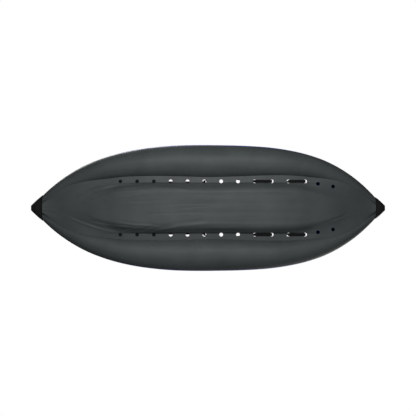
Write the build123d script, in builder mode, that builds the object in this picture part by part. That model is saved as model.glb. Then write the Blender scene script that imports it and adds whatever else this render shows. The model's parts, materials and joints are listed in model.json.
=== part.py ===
"""Self-bailing inflatable solo kayak.

Row frame: +X towards the bow, +Y to port, +Z up. The origin is on the ground under the middle of the
boat. Every length is in millimetres and every angle in degrees.
"""

import os
from math import cos, hypot, radians, sin

from build123d import *

os.makedirs("parts", exist_ok=True)

# ---- Hull ----
LENGTH = 2900.0
BEAM = 1024.0
WIDEST_X = 65.0  # the widest point lies a little ahead of the middle
TUBE_RADIUS = 137.5
TUBE_END_RADIUS = 34.0
TUBE_END_INSET = 65.0  # from the overall length to where each tube stops
END_HALF_BEAM = 71.0
BOW_FULLNESS = 0.49  # share of the beam lost as a parabola, the rest as a fourth power
STERN_FULLNESS = 0.19
TUBE_TAPER = 1.7
END_RISE = 215.0  # how far each end lifts off the ground
LEVEL_HALF = 280.0  # half the length of the level middle
RISE_POWER = 2.2
TUBE_LIFT = 12.0  # the tubes clear the ground by this much, so the boat stands on its floor
SKIN = 1.2
STATION_PITCH = 95.0

# ---- Seams: angles round a tube, from straight down, positive outboard ----
SEAM_ANGLE_MID = 65.0
SEAM_ANGLE_END = 25.0
SEAM_TURN_START = 790.0
SEAM_TURN_LENGTH = 418.0
COLOUR_ANGLE_MID = 70.0
COLOUR_ANGLE_END = 98.0
COLOUR_TURN_START = 744.0
COLOUR_TURN_LENGTH = 372.0

# ---- Floor ----
FLOOR_SHARE = 0.782  # of the width between the seams
FLOOR_END_SHARE = 0.12
FLOOR_BOW_INSET = 430.0
FLOOR_STERN_INSET = 308.0
FLOOR_DEPTH = 82.0  # the floor hangs this far below the drain flange
FLOOR_RISE = 45.0  # and stands this far above it
FLANGE_DROP = 10.0
FLOOR_SETTLE = 6.0  # rounds the floor's line where it comes down to the ground
FLOOR_LOW = 1.26
SHEET = 1.5
MATTRESS_WALL = 1.2
MATTRESS_GAP = 1.9  # over the bottom sheet
MATTRESS_BOW_X = 945.0
MATTRESS_STERN_X = -1055.0
CHANNEL_WIDTH = 74.0
WEB = 0.6

# ---- Drain holes ----
HOLE_RADIUS = 15.0
HOLE_Y = 215.5
STRAIGHT_HOLES = 12
FIRST_HOLE_INSET = 311.0
LAST_HOLE_INSET = 356.0
AFT_HOLE_SPACING = (104.0, 227.0)  # the last two follow the narrowing flange
AFT_HOLE_Y = (196.0, 174.0)

# ---- Webbing ----
WEBBING = 1.8
STRAP_WIDTH = 24.0
LOOP_CLEARANCE = 1.2

# ---- Clearances ----
GAP = 0.3
LOFT_GAP = 0.7  # between two long lofted surfaces
REST_GAP = 1.6  # under what rests on the mattress
SLIDE_GAP = 0.9  # under the foot brace, which slides on the mattress

# ---- Valves ----
VALVE_X = -840.0
FLOOR_VALVE_X = -760.0
VALVE_FLANGE_RADIUS = 27.0
VALVE_FLANGE = 3.0
VALVE_BODY_RADIUS = 20.0
VALVE_BODY_DEPTH = 30.0
VALVE_NECK_RADIUS = 17.0
VALVE_NECK = 6.0
VALVE_BORE_RADIUS = 13.0
VALVE_SEAT_RADIUS = 9.0
VALVE_FLOOR = 4.0
STEM_RADIUS = 2.5
STEM_CLEARANCE = 0.2
POPPET_RADIUS = 12.0
POPPET = 2.2
PLUNGER_TRAVEL = 3.0
CAP_RADIUS = 21.5
CAP_HEIGHT = 11.0

# ---- Rings and handles ----
RING_WIRE = 2.5
RING_WIDTH = 46.0
RING_DROP = 30.0
PATCH = 2.0
PATCH_HALF = 40.0
KEEPER_LENGTH = 22.0
KEEPER_WALL = 2.5
KEEPER_CLEARANCE = 0.25
RING_ANGLE = 222.0
FRONT_RING_X = 620.0
REAR_RING_X = -770.0
HANDLE_WIRE = 4.0
HANDLE_WIDTH = 150.0
HANDLE_DROP = 62.0
HANDLE_GRIP_RADIUS = 13.0
HANDLE_GRIP_LENGTH = 96.0
HANDLE_LIFT = 8.0
BOW_HANDLE_INSET = 290.0
STERN_HANDLE_INSET = 262.0

# ---- Decks ----
DECK = 1.5
DECK_CROWN = 14.0
DECK_ANGLE = 215.0
BOW_DECK_INSET = 465.0
STERN_DECK_INSET = 615.0

# ---- End caps ----
BOW_CAP_LENGTH = 96.0
STERN_CAP_LENGTH = 79.0
CAP_WALL = 3.0
CAP_TIP_HALF_WIDTH = 20.0
CAP_TIP_HALF_HEIGHT = 14.0

# ---- Seat ----
SEAT_FRONT_X = -60.0
SEAT_LENGTH = 390.0
SEAT_WIDTH = 392.0
SEAT_HEIGHT = 50.0
SEAT_FLAP = 2.0
BACK_HEIGHT = 310.0
BACK_WIDTH = 392.0
BACK_THICKNESS = 46.0
BACK_RAKE = 12.0
BACK_BOARD = 3.0
BACK_FOOT = 2.5  # from the hinge line to the foot of the back

# ---- Foot brace ----
BRACE_X = 575.0
BRACE_RADIUS = 70.0
BRACE_LENGTH = 430.0
BRACE_TAB = 50.0
FLAP_AFT_X = 395.0
FLAP_FORE_X = 748.0
FLAP_INNER_Y = 197.0
FLAP_OUTER_Y = 240.0
ADJUSTER_AFT_X = 20.0
ADJUSTER_INNER_Y = 197.0
ADJUSTER_OUTER_Y = 215.0
BUCKLE_WIDTH = 32.0
BUCKLE_LENGTH = 26.0

# ---- Seat stays ----
STAY_ANCHOR_X = 40.0
STAY_HEIGHT = 200.0  # up the seat back
STAY_BEYOND = 8.0
STAY_OFFSET = 9.8  # the webbing slants, so its edge just clears the back
REAR_STAY_Y = 150.0
ANCHOR_PATCH = 3.0
ANCHOR_BLOCK = 8.0
BUCKLE_FROM_ANCHOR = 95.0
BUCKLE_HALF_WIDTH = 17.0
BUCKLE_HALF_LENGTH = 13.0
BUCKLE_CLEARANCE = 0.7
LEVER_PIN_RADIUS = 1.2
LEVER_PIN_BACK = 6.0
LEVER_PIN_RISE = 5.0
LEVER_LENGTH = 24.0

HALF_LENGTH = LENGTH / 2
TUBE_END = HALF_LENGTH - TUBE_END_INSET
FLOOR_BOW = HALF_LENGTH - FLOOR_BOW_INSET
FLOOR_STERN = HALF_LENGTH - FLOOR_STERN_INSET


# ---- Lines of the hull ----
def ease(x, start, length):
    """0 inside start, 1 past start + length, smooth between them, the same fore and aft."""
    t = min(1.0, max(0.0, (abs(x) - start) / length))
    return t * t * (3 - 2 * t)


def rocker(x):
    return END_RISE * (max(0.0, abs(x) - LEVEL_HALF) / (TUBE_END - LEVEL_HALF)) ** RISE_POWER


def half_beam(x):
    fore = x > WIDEST_X
    reach = TUBE_END - WIDEST_X if fore else TUBE_END + WIDEST_X
    fullness = BOW_FULLNESS if fore else STERN_FULLNESS
    u = abs(x - WIDEST_X) / reach
    return BEAM / 2 - (BEAM / 2 - END_HALF_BEAM) * (fullness * u**2 + (1 - fullness) * u**4)


def tube_radius(x):
    u = min(1.0, abs(x) / TUBE_END)
    return TUBE_END_RADIUS + (TUBE_RADIUS - TUBE_END_RADIUS) * (1 - u**TUBE_TAPER)


def tube_centre(x):
    """(y, z) of the port tube's centre."""
    return half_beam(x) - tube_radius(x), rocker(x) + TUBE_LIFT + tube_radius(x)


def tube_point(x, angle, offset=0.0):
    """(y, z) on the port tube's skin, offset outwards."""
    y, z = tube_centre(x)
    r = tube_radius(x) + offset
    return y + r * sin(radians(angle)), z - r * cos(radians(angle))


def seam_angle(x):
    turn = ease(x, SEAM_TURN_START, SEAM_TURN_LENGTH)
    return SEAM_ANGLE_MID + (SEAM_ANGLE_END - SEAM_ANGLE_MID) * turn


def colour_angle(x):
    turn = ease(x, COLOUR_TURN_START, COLOUR_TURN_LENGTH)
    return COLOUR_ANGLE_MID + (COLOUR_ANGLE_END - COLOUR_ANGLE_MID) * turn


def above_zero(value, rounding):
    """The value where it is positive and nearly nothing where it is negative, without a corner."""
    return (value + hypot(value, rounding)) / 2


def floor_share(x):
    """How far along the floor chamber x is: 0 in the middle, 1 at its end."""
    return abs(x) / (FLOOR_BOW if x > 0 else FLOOR_STERN)


def seam_point(x):
    """(y, z) where the bottom sheet's lower face meets the port tube."""
    return tube_point(x, -seam_angle(x), LOFT_GAP)


def tube_side(x, height):
    """How far out the port tube's inboard side stands at this height, less the clearance."""
    y, z = tube_centre(x)
    return y - ((tube_radius(x) + LOFT_GAP) ** 2 - (height - z) ** 2) ** 0.5


def flange_inner(x):
    """(y, z) of the drain flange's inner edge, lower face."""
    seam_y, seam_z = seam_point(x)
    chamber = above_zero(1 - floor_share(x) ** 5, 0.1) ** 0.7
    share = FLOOR_END_SHARE + (FLOOR_SHARE - FLOOR_END_SHARE) * chamber
    drop = FLANGE_DROP * (1 - (abs(x) / HALF_LENGTH) ** 4)
    return seam_y * share, seam_z - drop


def flange_height(x, y):
    """Height of the drain flange's lower face."""
    seam_y, seam_z = seam_point(x)
    inner_y, inner_z = flange_inner(x)
    return inner_z + (seam_z - inner_z) * (y - inner_y) / (seam_y - inner_y)


def floor_bottom(x):
    """Height of the bottom sheet's lower face on the centre line."""
    depth = FLOOR_DEPTH * above_zero(1 - floor_share(x) ** 4, 0.15)
    return above_zero(flange_inner(x)[1] - depth, FLOOR_SETTLE) - FLOOR_LOW


def floor_top(x):
    """Height of the mattress's top."""
    return flange_inner(x)[1] + FLOOR_RISE * max(0.1, 1 - floor_share(x) ** 9) ** 0.5


def hole_centres():
    """(x, y) of each drain hole on the port side, from bow to stern."""
    first = FLOOR_BOW - FIRST_HOLE_INSET
    last = -(FLOOR_STERN - LAST_HOLE_INSET)
    pitch = (first - last) / (STRAIGHT_HOLES - 1)
    row = [(first - n * pitch, HOLE_Y) for n in range(STRAIGHT_HOLES)]
    return row + [(last - s, y) for s, y in zip(AFT_HOLE_SPACING, AFT_HOLE_Y)]


# ---- Helpers ----
def stations(aft, fore, count):
    return [aft + (fore - aft) * n / (count - 1) for n in range(count)]


def hull_stations(aft, fore):
    return stations(aft, fore, round((fore - aft) / STATION_PITCH) + 1)


def section_plane(x):
    """A plane across the boat: its x runs to port and its y runs up."""
    return Plane(origin=(x, 0, 0), x_dir=(0, 1, 0), z_dir=(1, 0, 0))


def save(part, name):
    part.label = name
    export_step(part, f"parts/{name}.step")


def save_pair(part, name):
    """Writes the port piece and its mirror image to starboard."""
    save(part, f"port_{name}")
    with BuildPart() as other:
        mirror(part, about=Plane.XZ)
    save(other.part, f"starboard_{name}")


def both_sides(part):
    with BuildPart() as pair:
        add(part)
        mirror(part, about=Plane.XZ)
    return pair.part


def tube_strip(xs, from_angle, to_angle, offset, thickness):
    """A strip of the port tube's surface between two angles, each a function of x."""
    with BuildPart() as strip:
        for x in xs:
            start, end = from_angle(x) - 90, to_angle(x) - 90
            radius = tube_radius(x) + offset
            with BuildSketch(section_plane(x)):
                with BuildLine():
                    outer = CenterArc(tube_centre(x), radius + thickness, start, end - start)
                    inner = CenterArc(tube_centre(x), radius, start, end - start)
                    Line(outer @ 0, inner @ 0)
                    Line(outer @ 1, inner @ 1)
                make_face()
        loft()
    return strip.part


def joint_slack(x):
    """Angle that leaves the clearance between two panels on the tube."""
    return LOFT_GAP / tube_radius(x) * 57.3


def valve_seat(place):
    """The plane of a valve's flange, level with the skin along the boat, its z outwards."""
    if place == "floor":
        x, y = FLOOR_VALVE_X, 0.0
        heights = [floor_top(x + step) + GAP for step in (-20, 0, 20)]
    else:
        x, y = VALVE_X, tube_centre(VALVE_X)[0]
        heights = [tube_point(x + step, 180)[1] for step in (-20, 0, 20)]
    slope = (heights[2] - heights[0]) / 40
    along = Vector(1, 0, slope).normalized()
    return Plane(origin=(x, y, heights[1]), x_dir=along, z_dir=Vector(-slope, 0, 1).normalized())


def valve_hole(place):
    """Cutter for a valve's body."""
    with BuildPart() as cutter:
        with BuildSketch(valve_seat(place)):
            Circle(VALVE_BODY_RADIUS + GAP)
        extrude(amount=VALVE_BODY_DEPTH + 8, both=True)
    return cutter.part


# ---- Tubes ----
def lower_skin():
    return tube_strip(
        hull_stations(-TUBE_END, TUBE_END),
        lambda x: -seam_angle(x),
        colour_angle,
        -SKIN,
        SKIN,
    )


def upper_skin():
    with BuildPart() as skin:
        add(
            tube_strip(
                hull_stations(-TUBE_END, TUBE_END),
                lambda x: colour_angle(x) + joint_slack(x),
                lambda x: 360 - seam_angle(x) - joint_slack(x),
                -SKIN,
                SKIN,
            )
        )
        add(valve_hole("tube"), mode=Mode.SUBTRACT)
    return skin.part


# ---- Bottom sheet and floor ----
def side_curve(top, bottom, side):
    """The side of the floor, from the flange at top down to the flat of the bottom."""
    (y, z), low = top, bottom
    drop = z - low
    Spline(
        (side * y, z),
        (side * y * 0.955, z - 0.32 * drop),
        (side * y * 0.80, low + 0.14 * drop),
        (side * y * 0.62, low),
        tangents=((side * -0.35, -1, 0), (side * -1, 0, 0)),
    )


def bottom_sheet():
    with BuildPart() as sheet:
        aft, fore = STERN_CAP_LENGTH + 1 - HALF_LENGTH, HALF_LENGTH - BOW_CAP_LENGTH - 1
        for x in hull_stations(aft, fore):
            seam_y, seam_z = seam_point(x)
            (inner_y, inner_z), low = flange_inner(x), floor_bottom(x)
            upper_y, upper_z, upper_low = inner_y - SHEET, inner_z + SHEET, low + SHEET
            edge_y, edge_z = tube_side(x, seam_z + SHEET), seam_z + SHEET
            with BuildSketch(section_plane(x)):
                with BuildLine():
                    Line((seam_y, seam_z), (inner_y, inner_z))
                    side_curve((inner_y, inner_z), low, 1)
                    Line((inner_y * 0.62, low), (-inner_y * 0.62, low))
                    side_curve((inner_y, inner_z), low, -1)
                    Line((-inner_y, inner_z), (-seam_y, seam_z))
                    Line((-seam_y, seam_z), (-edge_y, edge_z))
                    Line((-edge_y, edge_z), (-upper_y, upper_z))
                    side_curve((upper_y, upper_z), upper_low, -1)
                    Line((-upper_y * 0.62, upper_low), (upper_y * 0.62, upper_low))
                    side_curve((upper_y, upper_z), upper_low, 1)
                    Line((upper_y, upper_z), (edge_y, edge_z))
                    Line((edge_y, edge_z), (seam_y, seam_z))
                make_face()
        loft()
        for x, y in hole_centres():
            with Locations((x, y, flange_height(x, y)), (x, -y, flange_height(x, y))):
                Cylinder(HOLE_RADIUS, 40 * SHEET, mode=Mode.SUBTRACT)
    return sheet.part


def mattress_outline(x, inset):
    """Draws the closed section of the floor mattress, drawn in by inset."""
    inner_y, inner_z = flange_inner(x)
    width = inner_y - 7.0 - inset
    shelf = inner_z - 4.0
    under = floor_bottom(x) + SHEET + MATTRESS_GAP + inset
    top = floor_top(x) - inset
    rise = top - shelf
    for side in (1, -1):
        side_curve((width, shelf), under, side)
        Spline(
            (side * width, shelf),
            (side * width * 0.985, shelf + 0.55 * rise),
            (side * width * 0.90, shelf + 0.93 * rise),
            (side * width * 0.75, top),
            tangents=((side * 0.1, 1, 0), (side * -1, 0, 0)),
        )
    Line((width * 0.62, under), (-width * 0.62, under))
    Line((width * 0.75, top), (-width * 0.75, top))


def floor_mattress():
    aft, fore = MATTRESS_STERN_X, MATTRESS_BOW_X
    with BuildPart() as mattress:
        for x in hull_stations(aft, fore):
            with BuildSketch(section_plane(x)):
                with BuildLine():
                    mattress_outline(x, 0.0)
                make_face()
        loft()
        for x in hull_stations(aft + MATTRESS_WALL, fore - MATTRESS_WALL):
            with BuildSketch(section_plane(x)):
                with BuildLine():
                    mattress_outline(x, MATTRESS_WALL)
                make_face()
        loft(mode=Mode.SUBTRACT)
        add(valve_hole("floor"), mode=Mode.SUBTRACT)
    return mattress.part


def floor_webs():
    """The four upright webs that tie the mattress's top to its bottom and make its five channels."""
    reach = stations(0.74 * -FLOOR_STERN, 0.74 * FLOOR_BOW, 11)
    slack = MATTRESS_WALL + LOFT_GAP
    with BuildPart() as webs:
        for y in (-1.5 * CHANNEL_WIDTH, -0.5 * CHANNEL_WIDTH, 0.5 * CHANNEL_WIDTH, 1.5 * CHANNEL_WIDTH):
            with BuildSketch(Plane(origin=(0, y, 0), x_dir=(1, 0, 0), z_dir=(0, -1, 0))):
                with BuildLine():
                    low = Spline(*[(x, floor_bottom(x) + SHEET + LOFT_GAP + slack + 2) for x in reach])
                    high = Spline(*[(x, floor_top(x) - slack - 1) for x in reach])
                    Line(low @ 0, high @ 0)
                    Line(low @ 1, high @ 1)
                make_face()
            extrude(amount=WEB / 2, both=True)
    return webs.part


# ---- Straps through the drain holes ----
def flange_plane(x, y, length):
    """A plane in the flange at (x, y), on its lower face, along the chord of this length."""
    ahead, behind = x + length / 2, x - length / 2
    start = Vector(behind, y, flange_height(behind, y))
    along = (Vector(ahead, y, flange_height(ahead, y)) - start).normalized()
    side = Vector(0, 1, flange_height(x, y + 1) - flange_height(x, y))
    normal = along.cross(side).normalized()
    return Plane(origin=start + along * (length / 2), x_dir=along, z_dir=normal)


def floor_loops():
    """Two webbing loops: each goes down through one drain hole and up through the next."""
    centres = hole_centres()
    with BuildPart() as loops:
        for ahead, behind in ((8, 9), (10, 11)):
            pitch = centres[ahead][0] - centres[behind][0]
            middle = (centres[ahead][0] + centres[behind][0]) / 2
            seat = flange_plane(middle, HOLE_Y, pitch)
            side = seat.z_dir.cross(seat.x_dir)
            inner_length = pitch + 4.0
            inner_height = SHEET + 2 * LOOP_CLEARANCE + 0.6
            with BuildSketch(Plane(origin=seat.origin, x_dir=seat.x_dir, z_dir=side * -1)):
                with Locations((0, SHEET / 2)):
                    RectangleRounded(
                        inner_length + 2 * WEBBING, inner_height + 2 * WEBBING, WEBBING + 0.5
                    )
                    Rectangle(inner_length, inner_height, mode=Mode.SUBTRACT)
            extrude(amount=STRAP_WIDTH / 2, both=True)
    return loops.part


def flange_strip(aft, fore, inner_y, outer_y, gap, thickness):
    """A flat strip that lies on top of the drain flange."""
    count = max(3, round((fore - aft) / 75))
    with BuildPart() as strip:
        for x in stations(aft, fore, count):
            low = SHEET + gap
            with BuildSketch(section_plane(x)):
                with BuildLine():
                    Polyline(
                        (inner_y, flange_height(x, inner_y) + low),
                        (outer_y, flange_height(x, outer_y) + low),
                        (outer_y, flange_height(x, outer_y) + low + thickness),
                        (inner_y, flange_height(x, inner_y) + low + thickness),
                        close=True,
                    )
                make_face()
        loft()
    return strip.part


# ---- Decks ----
def deck(ends):
    """The fabric gusset that closes the gap between the tubes at one end."""
    with BuildPart() as gusset:
        for x in stations(*ends, 6):
            y, z = tube_point(x, DECK_ANGLE, LOFT_GAP)
            with BuildSketch(section_plane(x)):
                with BuildLine():
                    lower = ThreePointArc((-y, z), (0, z + DECK_CROWN), (y, z))
                    upper = ThreePointArc((-y, z + DECK), (0, z + DECK_CROWN + DECK), (y, z + DECK))
                    Line(lower @ 0, upper @ 0)
                    Line(lower @ 1, upper @ 1)
                make_face()
        loft()
    return gusset.part


def deck_top(x):
    return tube_point(x, DECK_ANGLE, LOFT_GAP)[1] + DECK_CROWN + DECK


# ---- End caps ----
def end_cap(direction, cap_length):
    """The moulded rubber boot over both tube ends. direction is 1 at the bow and -1 at the stern."""
    base = HALF_LENGTH - cap_length
    reach = HALF_LENGTH - base
    with BuildPart() as cap:
        for share in (0.0, 0.35, 0.62, 0.86, 1.0):
            x = base + reach * share
            tip = share**1.15
            half_width = (half_beam(direction * base) + CAP_WALL) * (1 - tip) + CAP_TIP_HALF_WIDTH * tip
            base_height = tube_radius(base) + CAP_WALL
            half_height = base_height + (CAP_TIP_HALF_HEIGHT - base_height) * share**2.2
            height = tube_centre(direction * min(x, TUBE_END))[1]
            with BuildSketch(section_plane(direction * x)):
                with Locations((0, height)):
                    RectangleRounded(2 * half_width, 2 * half_height, 0.92 * min(half_height, half_width))
        loft()
        for x in stations(base - 1, TUBE_END + 2 * GAP, 4):
            at = direction * min(x, TUBE_END)
            with BuildSketch(section_plane(direction * x)):
                with Locations((0, tube_centre(at)[1])):
                    half_width = half_beam(at) + LOFT_GAP
                    half_height = tube_radius(at) + LOFT_GAP
                    RectangleRounded(2 * half_width, 2 * half_height, 0.9 * half_height)
        loft(mode=Mode.SUBTRACT)
    return cap.part


# ---- Valves ----
def valve_base(seat):
    """Flanged valve body. seat is a plane on the skin with its z axis outwards."""
    flange_top = GAP + VALVE_FLANGE
    with BuildPart() as base:
        with BuildSketch(seat.offset(GAP)):
            Circle(VALVE_FLANGE_RADIUS)
        extrude(amount=VALVE_FLANGE)
        with BuildSketch(seat.offset(-VALVE_BODY_DEPTH)):
            Circle(VALVE_BODY_RADIUS)
        extrude(amount=VALVE_BODY_DEPTH + GAP)
        with BuildSketch(seat.offset(flange_top)):
            Circle(VALVE_NECK_RADIUS)
        extrude(amount=VALVE_NECK)
        with BuildSketch(seat.offset(-VALVE_BODY_DEPTH / 2)):
            Circle(VALVE_BORE_RADIUS)
        extrude(amount=2 * VALVE_BODY_DEPTH, mode=Mode.SUBTRACT)
        with BuildSketch(seat.offset(-VALVE_BODY_DEPTH)):
            Circle(VALVE_SEAT_RADIUS)
        extrude(amount=VALVE_BODY_DEPTH, mode=Mode.SUBTRACT)
        with BuildSketch(seat.offset(VALVE_FLOOR - VALVE_BODY_DEPTH)):
            Circle(VALVE_BORE_RADIUS)
        extrude(amount=VALVE_BODY_DEPTH / 2 - VALVE_FLOOR - 1.5, mode=Mode.SUBTRACT)
        with BuildSketch(seat.offset(-VALVE_BODY_DEPTH)):
            Circle(STEM_RADIUS + 2.5)
            with PolarLocations(0, 3):
                Rectangle(2 * VALVE_SEAT_RADIUS + 1, 2.5)
            Circle(STEM_RADIUS + STEM_CLEARANCE, mode=Mode.SUBTRACT)
        extrude(amount=VALVE_FLOOR)
    return base.part


def poppet_level():
    """Height of the closed poppet's upper face, from the skin."""
    return -VALVE_BODY_DEPTH / 2 - 1.5 - 0.2


def valve_plunger(seat):
    low = poppet_level() - POPPET
    with BuildPart() as plunger:
        with BuildSketch(seat.offset(low)):
            Circle(POPPET_RADIUS)
        extrude(amount=POPPET)
        with BuildSketch(seat.offset(-VALVE_BODY_DEPTH + 0.5)):
            Circle(STEM_RADIUS)
        extrude(amount=VALVE_BODY_DEPTH + 1.0)
        with BuildSketch(seat.offset(1.5)):
            Circle(STEM_RADIUS + 2.5)
        extrude(amount=4.0)
    return plunger.part


def valve_spring(seat):
    """The coil under the poppet."""
    bottom = VALVE_FLOOR - VALVE_BODY_DEPTH + 0.6
    height = poppet_level() - POPPET - bottom - 1.0
    radius = STEM_RADIUS + 3.0
    with BuildPart() as spring:
        with BuildLine(seat.offset(bottom)):
            coil = Helix(pitch=height / 3, height=height, radius=radius)
        with BuildSketch(Plane(origin=coil @ 0, z_dir=coil % 0)):
            Circle(0.35)
        sweep(path=coil, is_frenet=True)
    return spring.part


def valve_cap(seat):
    low = GAP + VALVE_FLANGE + GAP
    with BuildPart() as cap:
        with BuildSketch(seat.offset(low)):
            Circle(CAP_RADIUS)
            with PolarLocations(CAP_RADIUS + 1.4, 16):
                Circle(2.4, mode=Mode.SUBTRACT)
        extrude(amount=CAP_HEIGHT)
        with BuildSketch(seat.offset(low)):
            Circle(VALVE_NECK_RADIUS + GAP)
        extrude(amount=VALVE_NECK + 0.5, mode=Mode.SUBTRACT)
        with BuildSketch(seat.offset(low + CAP_HEIGHT)):
            Rectangle(1.6 * CAP_RADIUS, 5)
        extrude(amount=4)
    return cap.part


# ---- Rings in their keepers ----
def ring_loop(seat, width, drop, wire):
    """A closed ring. Its bar lies on the seat's x axis and the rest hangs towards -y."""
    with BuildPart() as ring:
        with BuildLine(seat):
            path = FilletPolyline(
                (width / 2, 0),
                (width * 0.42, -drop),
                (-width * 0.42, -drop),
                (-width / 2, 0),
                radius=[2.2 * wire, 3 * wire, 3 * wire, 2.2 * wire],
                close=True,
            )
        with BuildSketch(Plane(origin=path @ 0, z_dir=path % 0)):
            Circle(wire)
        sweep(path=path)
    return ring.part


def keeper(seat, wire, rise):
    """The folded webbing over a ring's bar, from the patch up."""
    outer = wire + KEEPER_CLEARANCE + KEEPER_WALL
    with BuildPart() as fold:
        with BuildSketch(Plane(origin=seat.origin, x_dir=seat.y_dir, z_dir=seat.x_dir)):
            Circle(outer)
            with Locations((0, -rise / 2)):
                Rectangle(2 * outer, rise)
            Circle(wire + KEEPER_CLEARANCE, mode=Mode.SUBTRACT)
        extrude(amount=KEEPER_LENGTH / 2, both=True)
    return fold.part


def tube_seat(x, angle, offset):
    """A plane on the tube's skin, its x along the tube and its z outwards."""
    ahead, behind = tube_point(x + 5, angle), tube_point(x - 5, angle)
    along = Vector(10, ahead[0] - behind[0], ahead[1] - behind[1]).normalized()
    around = Vector(0, cos(radians(angle)), sin(radians(angle)))
    outwards = around.cross(along).normalized()
    return Plane(
        origin=Vector(x, *tube_point(x, angle)) + outwards * offset,
        x_dir=along,
        z_dir=outwards,
    )


def ring_seat(x):
    return tube_seat(x, RING_ANGLE, LOFT_GAP + PATCH + RING_WIRE + KEEPER_CLEARANCE + 1.0)


def ring_patch(x):
    """The welded patch that carries a ring, bent to the tube, with its webbing keeper."""
    half_angle = PATCH_HALF / tube_radius(x) * 57.3
    rise = RING_WIRE + KEEPER_CLEARANCE + 1.5
    with BuildPart() as patch:
        add(
            tube_strip(
                stations(x - PATCH_HALF, x + PATCH_HALF, 3),
                lambda at: RING_ANGLE - half_angle,
                lambda at: RING_ANGLE + half_angle,
                LOFT_GAP,
                PATCH,
            )
        )
        add(keeper(ring_seat(x), RING_WIRE, rise))
    return patch.part


def handle_seat(x):
    """The plane of a handle's hinge: its x runs along the bar and its y runs away from the cockpit."""
    height = deck_top(x) + GAP + PATCH + HANDLE_WIRE + KEEPER_CLEARANCE + 1.0
    slope = (deck_top(x + 1) - deck_top(x - 1)) / 2
    along = -1 if x > 0 else 1
    return Plane(origin=(x, 0, height), x_dir=(0, along, 0), z_dir=Vector(-slope, 0, 1).normalized())


def handle_plane(x):
    """The handle's own plane at rest, raised so that the grip clears the deck."""
    seat = handle_seat(x)
    lift = radians(HANDLE_LIFT)
    return Plane(origin=seat.origin, x_dir=seat.x_dir, z_dir=seat.z_dir * cos(lift) + seat.y_dir * sin(lift))


def handle_anchor(x):
    """Deck patch with the two keepers of a carry handle."""
    seat = handle_seat(x)
    rise = HANDLE_WIRE + KEEPER_CLEARANCE + 1.5
    spread = HANDLE_WIDTH / 2 - 28.0
    with BuildPart() as anchor:
        with BuildSketch(seat.offset(-HANDLE_WIRE - KEEPER_CLEARANCE - 1.0 - PATCH)):
            RectangleRounded(HANDLE_WIDTH, 52, 12)
        extrude(amount=PATCH)
        for side in (-spread, spread):
            place = Plane(origin=seat.origin + seat.x_dir * side, x_dir=seat.x_dir, z_dir=seat.z_dir)
            add(keeper(place, HANDLE_WIRE, rise))
    return anchor.part


def handle_grip(x):
    """The rubber sleeve on the handle's long side."""
    seat = handle_plane(x)
    centre = seat.origin - seat.y_dir * HANDLE_DROP
    end = Plane(origin=centre, x_dir=seat.y_dir, z_dir=seat.x_dir)
    with BuildPart() as grip:
        with BuildSketch(end):
            Circle(HANDLE_GRIP_RADIUS)
        extrude(amount=HANDLE_GRIP_LENGTH / 2, both=True)
        fillet(grip.edges().filter_by(GeomType.CIRCLE), 4)
        with BuildSketch(end):
            Circle(HANDLE_WIRE + 0.1)
        extrude(amount=HANDLE_GRIP_LENGTH, both=True, mode=Mode.SUBTRACT)
    return grip.part


# ---- Foot brace ----
def brace_plane():
    """On the mattress under the brace, with x forward along the floor."""
    slope = (floor_top(BRACE_X + 60) - floor_top(BRACE_X - 60)) / 120
    height = floor_top(BRACE_X) + SLIDE_GAP
    return Plane(
        origin=(BRACE_X, 0, height),
        x_dir=Vector(1, 0, slope).normalized(),
        z_dir=Vector(-slope, 0, 1).normalized(),
    )


def bolster_half_profile(radius, half):
    """Draws the outline that is spun about the bolster's length, which lies along y."""
    shoulder = radius - 22.0
    Line((0, -half), (0, half))
    Line((0, half), (shoulder, half))
    Spline(
        (shoulder, half),
        (radius - 4, half - 14),
        (radius, half - 46),
        tangents=((1, -0.1, 0), (0, -1, 0)),
    )
    Line((radius, half - 46), (radius, 46 - half))
    Spline(
        (radius, 46 - half),
        (radius - 4, 14 - half),
        (shoulder, -half),
        tangents=((0, -1, 0), (-1, -0.1, 0)),
    )
    Line((shoulder, -half), (0, -half))


def foot_brace():
    """The inflated cross bolster, a closed bag."""
    with BuildPart() as brace:
        with BuildSketch(Plane.XY):
            with BuildLine():
                bolster_half_profile(BRACE_RADIUS, BRACE_LENGTH / 2)
            make_face()
        revolve(axis=Axis.Y)
        with BuildSketch(Plane.XY):
            with BuildLine():
                bolster_half_profile(BRACE_RADIUS - SKIN, BRACE_LENGTH / 2 - SKIN)
            make_face()
        revolve(axis=Axis.Y, mode=Mode.SUBTRACT)
    return brace_plane().offset(BRACE_RADIUS).location * brace.part


def brace_tab():
    """Webbing at one end of the brace: down the bolster's end and out over the side flap."""
    seat = brace_plane()
    with BuildPart() as tab:
        with BuildSketch(Plane(origin=seat.origin, x_dir=(0, 1, 0), z_dir=seat.x_dir)):
            low = flange_height(BRACE_X, FLAP_INNER_Y + 24) + SHEET + 2 * LOFT_GAP + WEBBING + 2.0
            fall = low - seat.origin.Z
            half = BRACE_LENGTH / 2
            with BuildLine():
                Polyline(
                    (half + 0.4, BRACE_RADIUS + 18),
                    (half + 2.4, BRACE_RADIUS + 18),
                    (half + 2.4, fall + WEBBING),
                    (FLAP_OUTER_Y - 5, fall + WEBBING + 3.0),
                    (FLAP_OUTER_Y - 5, fall + 3.0),
                    (half + 0.4, fall),
                    close=True,
                )
            make_face()
        extrude(amount=BRACE_TAB / 2, both=True)
    return tab.part


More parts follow.
